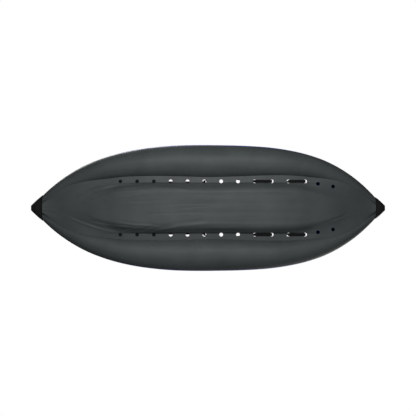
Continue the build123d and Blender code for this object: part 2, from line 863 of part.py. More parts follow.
def adjuster_strap():
    """The strap aft of the flap, with its ladder buckle."""
    lift = LOFT_GAP
    with BuildPart() as strap:
        add(
            flange_strip(
                ADJUSTER_AFT_X,
                FLAP_AFT_X - 2 * GAP,
                ADJUSTER_INNER_Y,
                ADJUSTER_OUTER_Y,
                lift,
                WEBBING,
            )
        )
        middle = (ADJUSTER_INNER_Y + ADJUSTER_OUTER_Y) / 2 + 3
        slope = flange_height(ADJUSTER_AFT_X, middle + 1) - flange_height(ADJUSTER_AFT_X, middle)
        height = flange_height(ADJUSTER_AFT_X, middle) + SHEET + lift
        buckle = Plane(origin=(ADJUSTER_AFT_X + 4, middle, height), x_dir=(1, 0, 0), z_dir=(0, -slope, 1))
        with BuildSketch(buckle):
            RectangleRounded(BUCKLE_LENGTH, BUCKLE_WIDTH, 3)
            with Locations((-7, 0)):
                Rectangle(5, STRAP_WIDTH - 2, mode=Mode.SUBTRACT)
        extrude(amount=4.4)
        with BuildSketch(buckle.offset(2.4)):
            with Locations((5, 0)):
                Rectangle(6, STRAP_WIDTH - 2)
        extrude(amount=4, mode=Mode.SUBTRACT)
    return strap.part


# ---- Seat ----
def seat_aft_x():
    return SEAT_FRONT_X - SEAT_LENGTH


def seat_hinge():
    """(x, z) of the line the seat back folds on."""
    x = seat_aft_x() - 5.0
    return x, floor_top(x) + REST_GAP + SEAT_HEIGHT + BACK_THICKNESS / 2 + 2.5


def back_plane():
    x, z = seat_hinge()
    rake = radians(BACK_RAKE)
    return Plane(origin=(x, 0, z), x_dir=(0, 1, 0), z_dir=(cos(rake), 0, sin(rake)))


def seat_base():
    hinge_x, hinge_z = seat_hinge()
    with BuildPart() as base:
        for share in (0.0, 0.06, 0.3, 0.7, 0.94, 1.0):
            x = SEAT_FRONT_X - SEAT_LENGTH * share
            end = abs(2 * share - 1) ** 8
            height = SEAT_HEIGHT * (1 - 0.42 * end)
            width = SEAT_WIDTH * (1 - 0.07 * end)
            with BuildSketch(section_plane(x)):
                with Locations((0, floor_top(x) + REST_GAP + SEAT_HEIGHT / 2)):
                    RectangleRounded(width, height, 0.42 * height)
        loft()
        with BuildSketch(Plane(origin=(hinge_x, 0, 0), x_dir=(1, 0, 0), z_dir=(0, -1, 0))):
            with BuildLine():
                Polyline(
                    (SEAT_FLAP / 2, hinge_z + 1.6),
                    (-SEAT_FLAP / 2, hinge_z + 1.6),
                    (-SEAT_FLAP / 2, hinge_z - 48),
                    (25, hinge_z - 48),
                    (25, hinge_z - 46),
                    (SEAT_FLAP / 2, hinge_z - 46),
                    close=True,
                )
            make_face()
        extrude(amount=130, both=True)
    return base.part


def seat_back():
    with BuildPart() as back:
        with BuildSketch(back_plane().offset(-BACK_THICKNESS / 2)):
            with Locations((0, BACK_FOOT + BACK_HEIGHT / 2)):
                RectangleRounded(BACK_WIDTH, BACK_HEIGHT, 62)
        extrude(amount=BACK_THICKNESS)
        fillet(back.edges().group_by(SortBy.LENGTH)[-1], 14)
    return back.part


def back_board():
    with BuildPart() as board:
        with BuildSketch(back_plane().offset(-BACK_THICKNESS / 2 - GAP - BACK_BOARD)):
            with Locations((0, BACK_FOOT + BACK_HEIGHT / 2)):
                RectangleRounded(BACK_WIDTH - 90, BACK_HEIGHT - 70, 30)
                with GridLocations(90, 0, 2, 1):
                    SlotOverall(150, 22, rotation=90, mode=Mode.SUBTRACT)
        extrude(amount=BACK_BOARD)
    return board.part


# ---- Stays ----
def strap_plane(start, end, face):
    """Across a strap at its start: z along it, y on the side that face points to."""
    along = (end - start).normalized()
    across = face.cross(along).normalized()
    return Plane(origin=start, x_dir=across, z_dir=along)


def straight_strap(start, end, face, run_on=0.0):
    with BuildPart() as strap:
        with BuildSketch(strap_plane(start, end, face)):
            Rectangle(STRAP_WIDTH, WEBBING)
        extrude(amount=(end - start).length + run_on)
    return strap.part


def stay_ends():
    """Where the front stay leaves the seat back and where it meets its anchor on the tube."""
    back = back_plane()
    start = back.origin + back.y_dir * STAY_HEIGHT + Vector(0, BACK_WIDTH / 2 + STAY_OFFSET, 0)
    end = tube_seat(STAY_ANCHOR_X, RING_ANGLE, LOFT_GAP + ANCHOR_PATCH + 4.2)
    return start, end.origin, end.z_dir


def front_stay():
    start, end, outwards = stay_ends()
    return straight_strap(start, end, outwards, STAY_BEYOND)


def stay_anchor():
    """The welded patch on the tube, with a slotted block that the stay runs through."""
    start, end, outwards = stay_ends()
    seat = strap_plane(start, end, outwards)
    place = Plane(origin=end, x_dir=seat.x_dir, z_dir=seat.z_dir)
    half_angle = PATCH_HALF / tube_radius(STAY_ANCHOR_X) * 57.3
    low = ANCHOR_PATCH / 2 + 4.2
    with BuildPart() as anchor:
        add(
            tube_strip(
                stations(STAY_ANCHOR_X - 30, STAY_ANCHOR_X + 30, 3),
                lambda at: RING_ANGLE - half_angle,
                lambda at: RING_ANGLE + half_angle,
                LOFT_GAP,
                ANCHOR_PATCH,
            )
        )
        with BuildSketch(place):
            with Locations((0, (4.4 - low) / 2)):
                Rectangle(STRAP_WIDTH + 12, 4.4 + low)
            Rectangle(STRAP_WIDTH + 2 * LOOP_CLEARANCE, WEBBING + 2 * LOOP_CLEARANCE, mode=Mode.SUBTRACT)
        extrude(amount=ANCHOR_BLOCK / 2, both=True)
    return anchor.part


def buckle_side():
    """The cam buckle seen from its side: x along the stay, y away from the tube."""
    start, end, outwards = stay_ends()
    across = strap_plane(start, end, outwards)
    centre = end - across.z_dir * BUCKLE_FROM_ANCHOR
    return Plane(origin=centre, x_dir=across.z_dir, z_dir=across.x_dir * -1)


def cam_buckle():
    side = buckle_side()
    channel = WEBBING / 2 + BUCKLE_CLEARANCE
    inner = STRAP_WIDTH / 2 + BUCKLE_CLEARANCE
    length = 2 * BUCKLE_HALF_LENGTH
    with BuildPart() as buckle:
        with BuildSketch(side):
            with Locations((0, -channel - 1.2)):
                Rectangle(length, 2.4)
            with Locations((BUCKLE_HALF_LENGTH - 2.5, channel + 1.3)):
                Rectangle(5, 2.6)
            with Locations((-LEVER_PIN_BACK, LEVER_PIN_RISE)):
                Circle(LEVER_PIN_RADIUS)
        extrude(amount=BUCKLE_HALF_WIDTH, both=True)
        for way in (1, -1):
            with BuildSketch(side.offset(way * (BUCKLE_HALF_WIDTH + inner) / 2)):
                with Locations((0, 1.7)):
                    RectangleRounded(length, 11, 2.5)
            extrude(amount=(BUCKLE_HALF_WIDTH - inner) / 2, both=True)
    return buckle.part


def cam_lever():
    side = buckle_side()
    barrel = 2.9
    with BuildPart() as lever:
        with BuildSketch(side):
            with Locations((-LEVER_PIN_BACK, LEVER_PIN_RISE)):
                Circle(barrel)
            with Locations((LEVER_LENGTH / 2 - LEVER_PIN_BACK, LEVER_PIN_RISE + 1.65)):
                Rectangle(LEVER_LENGTH, 2.2)
            with Locations((-LEVER_PIN_BACK, LEVER_PIN_RISE)):
                Circle(LEVER_PIN_RADIUS + 0.15, mode=Mode.SUBTRACT)
        extrude(amount=STRAP_WIDTH / 2, both=True)
    return lever.part


def rear_stay():
    """From the back of the seat down to the rear floor loop."""
    back = back_plane()
    start = back.origin + back.y_dir * STAY_HEIGHT - back.z_dir * (BACK_THICKNESS / 2 + 8)
    start = Vector(start.X, BACK_WIDTH / 2 - 14, start.Z)
    centres = hole_centres()
    x = centres[10][0] - 6
    over = SHEET + LOOP_CLEARANCE + 0.6 + WEBBING
    end = Vector(x, HOLE_Y, flange_height(x, HOLE_Y) + over + 3.0)
    return straight_strap(start, end, Vector(0.6, 0, 1))


# ---- The pieces ----
def hull_pieces():
    save_pair(lower_skin(), "lower_skin")
    save_pair(upper_skin(), "upper_skin")
    save(bottom_sheet(), "bottom_sheet")
    save(floor_mattress(), "floor_mattress")
    save(floor_webs(), "floor_webs")
    save(end_cap(1, BOW_CAP_LENGTH), "bow_cap")
    save(end_cap(-1, STERN_CAP_LENGTH), "stern_cap")
    save(deck((HALF_LENGTH - BOW_DECK_INSET, HALF_LENGTH - BOW_CAP_LENGTH - 2)), "bow_deck")
    save(deck((STERN_DECK_INSET - HALF_LENGTH, STERN_CAP_LENGTH + 2 - HALF_LENGTH)), "stern_deck")


def valve_pieces():
    makers = {
        "valve_base": valve_base,
        "valve_plunger": valve_plunger,
        "valve_spring": valve_spring,
        "valve_cap": valve_cap,
    }
    for name, make in makers.items():
        save_pair(make(valve_seat("tube")), name)
        save(make(valve_seat("floor")), f"floor_{name}")


def ring_pieces():
    for end, x in (("front", FRONT_RING_X), ("rear", REAR_RING_X)):
        save_pair(ring_patch(x), f"{end}_ring_patch")
        save_pair(ring_loop(ring_seat(x), RING_WIDTH, RING_DROP, RING_WIRE), f"{end}_ring")
    for end, x in (("bow", HALF_LENGTH - BOW_HANDLE_INSET), ("stern", STERN_HANDLE_INSET - HALF_LENGTH)):
        save(handle_anchor(x), f"{end}_handle_anchor")
        save(ring_loop(handle_plane(x), HANDLE_WIDTH, HANDLE_DROP, HANDLE_WIRE), f"{end}_handle")
        save(handle_grip(x), f"{end}_handle_grip")


def cockpit_pieces():
    save(both_sides(floor_loops()), "floor_loops")
    flap = flange_strip(FLAP_AFT_X, FLAP_FORE_X, FLAP_INNER_Y, FLAP_OUTER_Y, LOFT_GAP, 2.0)
    save_pair(flap, "foot_flap")
    save(both_sides(adjuster_strap()), "adjuster_straps")
    save(foot_brace(), "foot_brace")
    save(both_sides(brace_tab()), "brace_tabs")
    save(seat_base(), "seat_base")
    save(seat_back(), "seat_back")
    save(back_board(), "back_board")
    save_pair(front_stay(), "front_stay")
    save_pair(stay_anchor(), "stay_anchor")
    save_pair(cam_buckle(), "cam_buckle")
    save_pair(cam_lever(), "cam_lever")
    save_pair(rear_stay(), "rear_stay")


if __name__ == "__main__":
    hull_pieces()
    valve_pieces()
    ring_pieces()
    cockpit_pieces()
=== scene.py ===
# %% [markdown]
# # A self-bailing inflatable kayak, seen from below
# The fixed frame is the engineered model: tubes, floor, caps, valves and rings at their true size.
# Blender gives each soft piece its real surface: welded fabric, air-tight tubes that crease near the
# ends, a floor with sewn channels and webbing that is woven.

import json
from math import cos, pi, radians, sin

import bpy
import numpy as np
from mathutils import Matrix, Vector, noise

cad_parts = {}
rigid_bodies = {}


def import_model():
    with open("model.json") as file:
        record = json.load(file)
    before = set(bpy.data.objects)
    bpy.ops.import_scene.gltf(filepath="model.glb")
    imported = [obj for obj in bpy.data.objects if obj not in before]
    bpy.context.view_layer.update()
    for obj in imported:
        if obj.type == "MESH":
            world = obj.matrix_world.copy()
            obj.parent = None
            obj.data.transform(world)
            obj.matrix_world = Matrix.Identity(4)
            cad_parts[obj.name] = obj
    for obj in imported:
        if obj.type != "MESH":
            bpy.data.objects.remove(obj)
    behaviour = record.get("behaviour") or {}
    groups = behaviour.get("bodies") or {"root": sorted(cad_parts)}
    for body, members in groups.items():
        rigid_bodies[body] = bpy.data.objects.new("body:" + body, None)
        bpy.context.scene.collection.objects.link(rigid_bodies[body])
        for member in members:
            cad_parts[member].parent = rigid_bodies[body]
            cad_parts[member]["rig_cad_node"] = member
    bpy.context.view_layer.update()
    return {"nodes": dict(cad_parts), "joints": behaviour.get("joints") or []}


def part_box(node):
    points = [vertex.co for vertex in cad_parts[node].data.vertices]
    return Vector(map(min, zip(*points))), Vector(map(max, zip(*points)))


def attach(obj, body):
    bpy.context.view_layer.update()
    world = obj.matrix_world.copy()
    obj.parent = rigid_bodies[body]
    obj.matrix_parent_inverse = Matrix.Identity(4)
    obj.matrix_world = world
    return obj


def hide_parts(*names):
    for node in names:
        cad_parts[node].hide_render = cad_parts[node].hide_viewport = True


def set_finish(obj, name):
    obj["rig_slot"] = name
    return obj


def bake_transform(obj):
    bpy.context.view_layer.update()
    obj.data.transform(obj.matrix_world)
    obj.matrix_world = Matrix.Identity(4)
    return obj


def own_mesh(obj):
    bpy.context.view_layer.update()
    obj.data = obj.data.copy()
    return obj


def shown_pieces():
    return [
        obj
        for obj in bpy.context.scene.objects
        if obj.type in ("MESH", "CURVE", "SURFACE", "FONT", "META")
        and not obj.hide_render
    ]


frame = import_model()
nodes = frame["nodes"]
print("frame nodes:", len(nodes))

# %% [markdown]
# The hull's lines are a few smooth curves. They are the ones the fixed frame was made from, in metres,
# so that the fabric lies on the frame's own surface.

# %% Lines of the hull
HALF_LENGTH, TUBE_END = 1.45, 1.385
HALF_BEAM, END_HALF_BEAM, WIDEST_X = 0.512, 0.071, 0.065
TUBE_RADIUS, TUBE_END_RADIUS = 0.1375, 0.034
FLOOR_BOW, FLOOR_STERN = 1.02, 1.142
BOW_CAP_X, STERN_CAP_X = 1.354, -1.371
CLEARANCE = 0.0007
SHEET = 0.0015
SKIN = 0.0012


def ease(x, start, length):
    t = np.clip((np.abs(x) - start) / length, 0, 1)
    return t * t * (3 - 2 * t)


def above_zero(value, rounding):
    return (value + np.hypot(value, rounding)) / 2


def rocker(x):
    return 0.215 * (np.maximum(0, np.abs(x) - 0.28) / (TUBE_END - 0.28)) ** 2.2


def half_beam(x):
    fore = x > WIDEST_X
    u = np.abs(x - WIDEST_X) / np.where(fore, TUBE_END - WIDEST_X, TUBE_END + WIDEST_X)
    fullness = np.where(fore, 0.49, 0.19)
    return HALF_BEAM - (HALF_BEAM - END_HALF_BEAM) * (fullness * u**2 + (1 - fullness) * u**4)


def tube_radius(x):
    u = np.minimum(1, np.abs(x) / TUBE_END)
    return TUBE_END_RADIUS + (TUBE_RADIUS - TUBE_END_RADIUS) * (1 - u**1.7)


def tube_centre(x):
    return half_beam(x) - tube_radius(x), rocker(x) + 0.012 + tube_radius(x)


def tube_point(x, angle, offset=0.0):
    """(y, z) on the port tube. The angle is in degrees from straight down, positive outboard."""
    y, z = tube_centre(x)
    r = tube_radius(x) + offset
    return y + r * np.sin(np.radians(angle)), z - r * np.cos(np.radians(angle))


def seam_angle(x):
    return 65 - 40 * ease(x, 0.79, 0.418)


def colour_angle(x):
    return 70 + 28 * ease(x, 0.744, 0.372)


def seam_point(x):
    return tube_point(x, -seam_angle(x), CLEARANCE)


def floor_share(x):
    return np.abs(x) / np.where(x > 0, FLOOR_BOW, FLOOR_STERN)


def flange_inner(x):
    seam_y, seam_z = seam_point(x)
    chamber = above_zero(1 - floor_share(x) ** 5, 0.1) ** 0.7
    share = 0.12 + (0.782 - 0.12) * chamber
    return seam_y * share, seam_z - 0.010 * (1 - (np.abs(x) / HALF_LENGTH) ** 4)


def floor_bottom(x):
    depth = 0.082 * above_zero(1 - floor_share(x) ** 4, 0.15)
    return above_zero(flange_inner(x)[1] - depth, 0.006) - 0.00126


def floor_top(x):
    return flange_inner(x)[1] + 0.045 * np.maximum(0.1, 1 - floor_share(x) ** 9) ** 0.5


def flange_height(x, y):
    seam_y, seam_z = seam_point(x)
    inner_y, inner_z = flange_inner(x)
    return inner_z + (seam_z - inner_z) * (y - inner_y) / (seam_y - inner_y)


low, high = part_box("port_lower_skin")
print("tube length from the frame:", round(high.x - low.x, 4), "and here:", 2 * TUBE_END)

# %% [markdown]
# Most of this boat is fabric held tight by air, so most pieces are a grid whose points are moved onto
# one of the curves above. The helper adds a grid, moves its points, gives it a thickness and shades
# it smooth.


# %% Helpers for fabric
def deselect():
    if bpy.context.object and bpy.context.object.mode != "OBJECT":
        bpy.ops.object.mode_set(mode="OBJECT")
    bpy.ops.object.select_all(action="DESELECT")


def pick(piece):
    deselect()
    piece.select_set(True)
    bpy.context.view_layer.objects.active = piece


def points_of(piece):
    co = np.empty(len(piece.data.vertices) * 3)
    piece.data.vertices.foreach_get("co", co)
    return co.reshape(-1, 3)


def move_points(piece, co):
    piece.data.vertices.foreach_set("co", np.ascontiguousarray(co, dtype=float).ravel())
    piece.data.update()


def apply_modifier(piece, kind, **settings):
    pick(piece)
    modifier = piece.modifiers.new(kind.title(), kind)
    for key, value in settings.items():
        setattr(modifier, key, value)
    bpy.ops.object.modifier_apply(modifier=modifier.name)


def edit(piece, *steps):
    """Runs edit-mode steps on the whole piece."""
    pick(piece)
    bpy.ops.object.mode_set(mode="EDIT")
    bpy.ops.mesh.select_all(action="SELECT")
    for step in steps:
        step()
    bpy.ops.object.mode_set(mode="OBJECT")


def outwards(piece):
    edit(piece, lambda: bpy.ops.mesh.normals_make_consistent(inside=False))


def smooth(piece, angle=40):
    pick(piece)
    bpy.ops.object.shade_smooth_by_angle(angle=radians(angle))


def fabric(name, columns, rows, place, thickness, angle=40):
    """A sheet of fabric: place(u, v) gives its outer face and the side the thickness goes to."""
    deselect()
    bpy.ops.mesh.primitive_grid_add(x_subdivisions=columns, y_subdivisions=rows, size=2)
    piece = bpy.context.object
    piece.name = name
    co = points_of(piece)
    u, v = (co[:, 0] + 1) / 2, (co[:, 1] + 1) / 2
    outer, inward = place(u, v)
    move_points(piece, outer)
    if thickness:
        # the inner face is a copy moved along the given direction, joined round the rim
        count = len(outer)
        edit(piece, lambda: bpy.ops.mesh.duplicate())
        co = points_of(piece)
        co[count:] = outer + inward * thickness
        move_points(piece, co)
        edit(
            piece,
            lambda: bpy.ops.mesh.select_non_manifold(extend=False, use_boundary=True),
            lambda: bpy.ops.mesh.bridge_edge_loops(),
        )
        outwards(piece)
    smooth(piece, angle)
    return piece


def lengths(x, y, z):
    return np.stack([x, y, z], axis=1)


def mirror_copy(piece, name):
    """The starboard twin, with its own mesh."""
    pick(piece)
    bpy.ops.object.duplicate()
    twin = bpy.context.object
    twin.name = name
    co = points_of(twin)
    co[:, 1] *= -1
    move_points(twin, co)
    edit(twin, lambda: bpy.ops.mesh.flip_normals())
    return twin


def ridge(distance, width):
    """A soft fold: 1 on its crest, fading over its width."""
    return np.exp(-((distance / width) ** 2))


def ripple(x, y, z, scale, seed):
    """Gentle unevenness, the same each run."""
    places = [Vector((a * scale + seed, b * scale, c * scale)) for a, b, c in zip(x, y, z)]
    return np.array([noise.noise(place) for place in places])


# %% [markdown]
# Each tube is a lower panel of dark grey and an upper panel of blue. Air holds both tight, but where
# the tube narrows into the rubber cap the cloth has nowhere to go and gathers into short pleats, and
# along the floor seam it puckers a little.


# %% Tube panels
def tube_creases(x, angle):
    """How far the fabric sits inside the smooth tube."""
    turn = np.radians(angle)
    bow = np.exp(-np.maximum(0, BOW_CAP_X - x) / 0.085)
    stern = 0.6 * np.exp(-np.maximum(0, x - STERN_CAP_X) / 0.07)
    gathers = 0.5 * np.cos(turn * 16 + 1.1 * np.sin(x * 23)) + 0.5 * np.cos(turn * 9 - 2 * x)
    near_seam = ridge(angle + seam_angle(x), 10)
    puckers = np.cos(2 * pi * x / 0.046 + 1.6 * np.sin(9 * x)) - 1
    return 0.0022 * (bow + stern) * (gathers - 1) + 0.0006 * near_seam * puckers


def on_tube(aft, fore, from_angle, to_angle, offset):
    def place(u, v):
        x = aft + (fore - aft) * u
        start, end = from_angle(x), to_angle(x)
        angle = start + (end - start) * v
        unevenness = 0.0009 * (ripple(x, angle / 90, 0 * x, 5, 3) - 0.5)
        y, z = tube_point(x, angle, offset + tube_creases(x, angle) + unevenness)
        inward = lengths(0 * x, -np.sin(np.radians(angle)), np.cos(np.radians(angle)))
        return lengths(x, y, z), inward

    return place


def pair(name, piece, cad, slot):
    """Mirrors a port piece, gives both their body and their slot, and hides the frame's node they stand for.
    """
    twin = mirror_copy(piece, f"starboard_{name}")
    for side, each in (("port", piece), ("starboard", twin)):
        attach(each, "hull")
        if cad:
            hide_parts(f"{side}_{cad}")
        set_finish(each, slot)
    print(piece.name, "and", twin.name, "with", len(twin.data.vertices), "points each")


LAP, SLACK = 4.0, 0.3  # degrees round the tube
lower = fabric(
    "port_lower_panel",
    260,
    64,
    on_tube(-TUBE_END, TUBE_END, lambda x: -seam_angle(x) - LAP, colour_angle, -0.0001),
    SKIN,
)
pair("lower_panel", lower, "lower_skin", "grey_fabric")
upper = fabric(
    "port_upper_panel",
    260,
    100,
    on_tube(
        -TUBE_END,
        TUBE_END,
        lambda x: colour_angle(x) + SLACK,
        lambda x: 360 - seam_angle(x) - LAP - SLACK,
        -0.0001,
    ),
    SKIN,
)
pair("upper_panel", upper, "upper_skin", "blue_fabric")

# %% [markdown]
# Two welded tapes run the length of each tube: one closes the joint between the colours, the other
# covers the floor seam. They are narrow strips a little proud of the panels.

# %% Seam tapes
colour_tape = fabric(
    "port_colour_tape",
    220,
    4,
    on_tube(-1.36, 1.34, lambda x: colour_angle(x) - 8, lambda x: colour_angle(x) + 0.6, 0.0006),
    0.0005,
)
floor_tape = fabric(
    "port_floor_tape",
    220,
    4,
    on_tube(-1.36, 1.34, lambda x: 1.2 - seam_angle(x), lambda x: 11 - seam_angle(x), 0.0006),
    0.0005,
)
pair("colour_tape", colour_tape, None, "grey_fabric")
pair("floor_tape", floor_tape, None, "grey_fabric")

# %% [markdown]
# The bottom sheet is one wide piece of the same grey cloth. From each seam it runs in as a nearly
# level flange, drops down the side of the floor, crosses flat, and comes up again. Long soft folds
# run along it where it was laid over the mattress.


# %% Bottom sheet
def half_section(x, share, inner_y, inner_z, low_z):
    """Half of the floor's section: share is 0 on the centre line and 1 at the flange's inner edge."""
    flat = np.minimum(share / 0.625, 1)
    t = np.clip((1 - share) / 0.375, 0, 1)
    side_y, side_z = side_curve(t)
    level = share < 0.625
    y = np.where(level, 0.62 * flat, side_y) * inner_y
    z = low_z + np.where(level, 0, side_z) * (inner_z - low_z)
    return y, z


def side_curve(t):
    """The floor's side from the flange, t = 0, to the flat, t = 1, as shares of its width and height."""
    y = (1 - t) ** 3 + 3 * (1 - t) ** 2 * t * 0.93 + 3 * (1 - t) * t**2 * 0.80 + t**3 * 0.62
    return y, (1 - t) ** 3 + 3 * (1 - t) ** 2 * t * 0.45


SIDE_Y, SIDE_Z = side_curve(np.linspace(0, 1, 200))


def sheet_height(x, y):
    """The sheet's lower face before it creases, for y from the centre line to the seam."""
    seam_y, seam_z = seam_point(x)
    inner_y, inner_z = flange_inner(x)
    low_z = floor_bottom(x)
    inside = low_z + (inner_z - low_z) * np.interp(y / inner_y, SIDE_Y[::-1], SIDE_Z[::-1])
    flange = inner_z + (seam_z - inner_z) * (y - inner_y) / (seam_y - inner_y)
    return np.where(y < inner_y, inside, flange)


def between(x, start, end, soft):
    return 0.25 * (1 + np.tanh((x - start) / soft)) * (1 + np.tanh((end - x) / soft))


FOLDS = (  # start x, end x, y at each, bow of the line, width, depth in mm: long creases of slack cloth
    (1.06, 0.66, 0.112, 0.198, 0.014, 0.0085, 3.4),
    (0.98, 0.38, 0.094, 0.188, 0.022, 0.0100, 3.8),
    (0.80, 0.30, 0.070, 0.118, 0.012, 0.0110, 1.6),
    (0.56, 0.12, 0.196, 0.150, -0.006, 0.0120, 3.0),
    (1.14, 0.84, 0.060, 0.150, 0.006, 0.0070, 2.2),
    (1.18, 0.70, -0.052, -0.206, -0.022, 0.0090, 3.2),
    (0.98, 0.50, -0.112, -0.160, -0.012, 0.0075, 3.0),
    (0.74, 0.36, -0.122, -0.150, -0.004, 0.0080, 3.4),
    (0.50, 0.00, -0.200, -0.128, 0.010, 0.0130, 3.4),
    (0.56, 0.40, -0.205, -0.150, 0.004, 0.0065, 2.6),
    (0.70, 0.57, -0.196, -0.165, 0.003, 0.0060, 1.8),
    (0.72, 0.30, 0.026, 0.042, 0.004, 0.0090, 0.9),
    (0.40, -0.10, 0.012, 0.020, 0.003, 0.0060, 0.8),
    (0.24, -0.05, -0.018, 0.004, 0.004, 0.0055, 1.1),
    (0.52, 0.02, -0.070, -0.052, 0.004, 0.0080, 1.0),
    (0.05, -0.40, 0.075, 0.060, 0.004, 0.0090, 0.7),
    (-0.45, -0.80, 0.160, 0.170, 0.004, 0.0080, 1.0),
    (-1.16, -0.96, -0.050, -0.120, -0.010, 0.0080, 1.8),
    (-1.14, -0.98, 0.060, 0.130, 0.010, 0.0080, 1.4),
    (0.20, -0.55, -0.168, -0.160, 0.004, 0.0110, 1.2),
)


def floor_folds(x, y):
    """How far the folds of slack cloth stand down from the sheet, in metres."""
    rise = np.zeros_like(x)
    for start, end, y0, y1, bow, width, depth in FOLDS:
        t = (x - start) / (end - start)
        line = y0 + (y1 - y0) * t + 4 * bow * t * (1 - t) + 0.0015 * np.sin(31 * x + 60 * y0)
        fade = np.sin(pi * np.clip(t, 0, 1)) ** 0.8 * (0.75 + 0.25 * np.sin(19 * x + 90 * y0))
        off = y - line
        rise -= 1.6 * depth * fade * (ridge(off, width) - 0.9 * ridge(off - 1.9 * width, 1.3 * width))
    fan, fan_stern = (np.arctan2(y, np.maximum(0.03, reach)) for reach in (1.44 - x, x + 1.45))
    near_bow = np.exp(-np.maximum(0, BOW_CAP_X - x) / 0.16)
    near_stern = np.exp(-np.maximum(0, x - STERN_CAP_X) / 0.12)
    rise += 1.3 * near_bow * np.cos(fan * 19 + 2 * np.sin(fan * 5)) * (1 - 0.4 * np.cos(fan * 7))
    rise += 0.7 * near_stern * np.cos(fan_stern * 15 + 1)
    return rise / 1000


def fill_valleys(z, rows, rounds):
    """Pulls the cloth straight over hollows: each round averages neighbours, and cloth only moves out."""
    grid = z.reshape(rows, -1)
    soft = grid.copy()
    for _ in range(rounds):
        near = np.pad(soft, 1, mode="edge")
        soft = (near[:-2, 1:-1] + near[2:, 1:-1] + near[1:-1, :-2] + near[1:-1, 2:] + 2 * soft) / 6
        soft[[0, 1, -2, -1]] = grid[[0, 1, -2, -1]]
        soft = np.minimum(soft, grid)
    return soft.ravel()


COLUMNS, ROWS = 450, 100


def bottom_place(u, v):
    x = STERN_CAP_X + 0.001 + (BOW_CAP_X - STERN_CAP_X - 0.002) * u
    side = np.sign(1 - 2 * v)
    share = np.abs(1 - 2 * v)
    seam_y = tube_point(x, -seam_angle(x), -0.0006)[0]  # welded, so just into the tube
    y = share * seam_y
    z = sheet_height(x, y)
    ends = 1 - between(x, -0.86, 0.80, 0.05)
    on_flange = ease(y, 0.198, 0.008) * (1 - ends)
    filled = fill_valleys(z, ROWS + 1, 500) * ends + fill_valleys(z, ROWS + 1, 60) * (1 - ends)
    z += (filled - z) * (1 - on_flange)
    quilting = -0.0007 * np.cos(2 * pi * y / 0.074) * between(x, -0.85, 0.15, 0.1) * (y < 0.12)
    firm = 1 - ease(share, 0.93, 0.07)
    # no further up than the mattress, and less where webbing lies on the flange
    slack_cloth = np.minimum(floor_folds(x, side * y), 0.0026 - 0.0022 * ease(y, 0.180, 0.012))
    z = z + (slack_cloth + quilting + 0.0006 * ripple(x, side * y * 3, 0 * x, 6, 11)) * firm
    z = np.maximum(z, 0.0002)
    return lengths(x, side * y, z), lengths(0 * x, 0 * x, 1 + 0 * x)


bottom = fabric("bottom_sheet_cloth", COLUMNS, ROWS, bottom_place, SHEET)

# %% [markdown]
# Water leaves the boat through round holes along both flanges. They are cut with one joined set of
# cylinders, as a punch would.

# %% Drain holes
HOLE_RADIUS = 0.015
FIRST_HOLE, LAST_HOLE = FLOOR_BOW - 0.311, -(FLOOR_STERN - 0.356)
hole_x = [FIRST_HOLE + (LAST_HOLE - FIRST_HOLE) * n / 11 for n in range(12)]
holes = [(x, 0.2155) for x in hole_x] + [(LAST_HOLE - 0.104, 0.196), (LAST_HOLE - 0.227, 0.174)]


deselect()
punches = []
for x, y in holes:
    for side in (1, -1):
        z = float(flange_height(np.array([x]), y)[0])
        bpy.ops.mesh.primitive_cylinder_add(
            vertices=40, radius=HOLE_RADIUS, depth=0.05, location=(x, side * y, z)
        )
        punches.append(bpy.context.object)
deselect()
for punch in punches:
    punch.select_set(True)
bpy.context.view_layer.objects.active = punches[0]
bpy.ops.object.join()
punch = bpy.context.object
apply_modifier(bottom, "BOOLEAN", operation="DIFFERENCE", object=punch, solver="EXACT")
pick(punch)
bpy.ops.object.delete()
smooth(bottom, 40)
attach(bottom, "hull")
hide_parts("bottom_sheet")
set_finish(bottom, "grey_fabric")
# cut flat, it is as wide at each station as its girth there
stations = np.linspace(STERN_CAP_X, BOW_CAP_X, 200)
across = np.linspace(0, 1, 80)
girth = np.array([
    2 * np.hypot(np.diff(across * seam), np.diff(sheet_height(x + 0 * across, across * seam))).sum()
    for x, seam in zip(stations, seam_point(stations)[0])
])
run = np.hypot(np.diff(stations), np.diff(floor_bottom(stations)))
print("bottom sheet points:", len(bottom.data.vertices), "holes:", 2 * len(holes))

# %% [markdown]
# The mattress is the blown-up floor. Its underside follows the bottom sheet a little above it, and
# four sewn webs pull its top into five long cushions.


# %% Floor mattress
MATTRESS = (-1.055, 0.945)


def mattress_place(u, v):
    x = MATTRESS[0] + (MATTRESS[1] - MATTRESS[0]) * u
    round_end = np.clip(1 - np.minimum(x - MATTRESS[0], MATTRESS[1] - x) / 0.05, 0, 1)
    inner_y, inner_z = flange_inner(x)
    inner_y, inner_z = inner_y - 0.007, inner_z - 0.004
    turn = v * 2  # 0 to 1 crosses the underside, 1 to 2 comes back over the top
    side = np.where(turn < 1, 1 - 2 * turn, 2 * turn - 3)
    share = np.abs(side)
    low_y, low_z = half_section(x, share, inner_y, inner_z, floor_bottom(x) + SHEET + 0.0024)
    top = floor_top(x)
    high_y = inner_y * np.sin(share * pi / 2)
    channel = np.abs(np.cos(pi * high_y / 0.074)) ** 0.6 - 1
    inside = 1 - ease(high_y, 0.135, 0.03)
    high_z = inner_z + (top - inner_z) * (1 - share**5) ** 0.45 + 0.009 * channel * inside
    y = np.where(turn < 1, low_y, high_y)
    z = np.where(turn < 1, low_z, high_z)
    squeeze = np.sqrt(np.maximum(0, 1 - round_end**2))
    z = inner_z + (z - inner_z) * np.maximum(0.02, squeeze)
    y = np.sign(side) * y * (1 - 0.06 * round_end**2)
    return lengths(x, y, z), lengths(0 * x, 0 * x, 0 * x)


mattress = fabric("floor_cushion", 260, 180, mattress_place, 0)
